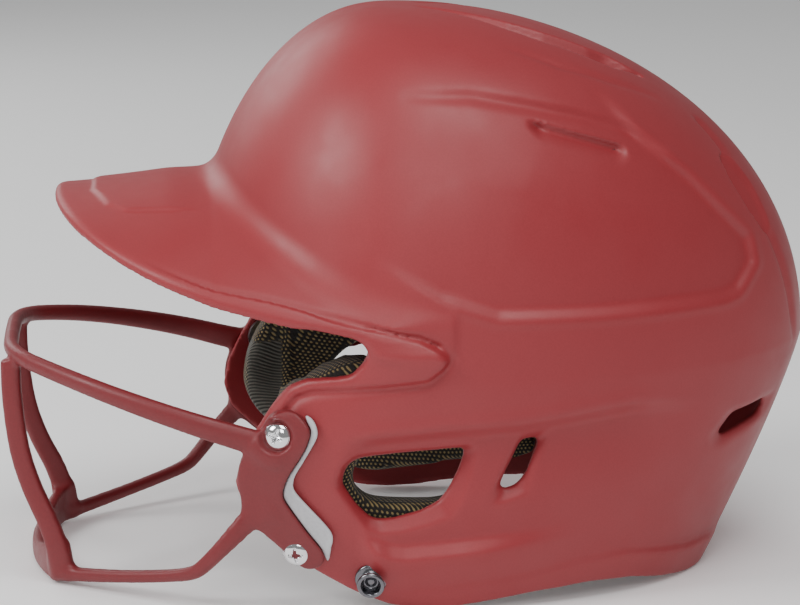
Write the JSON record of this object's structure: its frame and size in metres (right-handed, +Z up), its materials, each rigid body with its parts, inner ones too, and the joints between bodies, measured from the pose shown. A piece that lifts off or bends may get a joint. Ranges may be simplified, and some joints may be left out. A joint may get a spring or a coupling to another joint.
{
  "type": "batting helmet",
  "caption": "Batting helmet with a drooped brim, two ear flaps with ear holes, a padded liner, chin strap studs and a painted steel bar face guard screwed to the flaps.",
  "frame": {"origin": "on the surface the helmet stands on, at the centre of its bounding box seen from above", "axes": "+X towards the wearer's left, -Y the way the wearer faces, +Z up"},
  "size_m": [0.22, 0.3305, 0.2278],
  "materials": {
    "shell_plastic": "matte moulded-in red with a soft sheen",
    "guard_paint": "satin red powder coat",
    "liner_foam": "black moulded bead foam",
    "pad_mesh": "black warp-knit mesh with a gold dot pattern",
    "bumper_rubber": "light grey, fine grained",
    "screw_chrome": "bright plated",
    "nut_steel": "zinc plated",
    "stud_nickel": "black nickel plated"
  },
  "bodies": {
    "root": {"outer_shell": "shell_plastic", "impact_liner_front": "liner_foam", "impact_liner_crown": "liner_foam", "impact_liner_rear": "liner_foam", "impact_liner_left": "liner_foam", "impact_liner_right": "liner_foam", "brow_pad": "pad_mesh", "crown_pad": "pad_mesh", "nape_pad": "pad_mesh", "left_temple_pad": "pad_mesh", "right_temple_pad": "pad_mesh", "left_ear_pad": "pad_mesh", "right_ear_pad": "pad_mesh", "guard_top_bar": "guard_paint", "guard_chin_bar": "guard_paint", "left_guard_front_bar": "guard_paint", "right_guard_front_bar": "guard_paint", "left_guard_jaw_bar": "guard_paint", "right_guard_jaw_bar": "guard_paint", "left_guard_side_plate": "guard_paint", "right_guard_side_plate": "guard_paint", "left_bumper_strip": "bumper_rubber", "right_bumper_strip": "bumper_rubber", "guard_screws": "screw_chrome", "guard_tee_nuts": "nut_steel", "left_snap_stud": "stud_nickel", "right_snap_stud": "stud_nickel", "snap_stud_washers": "nut_steel"}
  },
  "joints": []
}
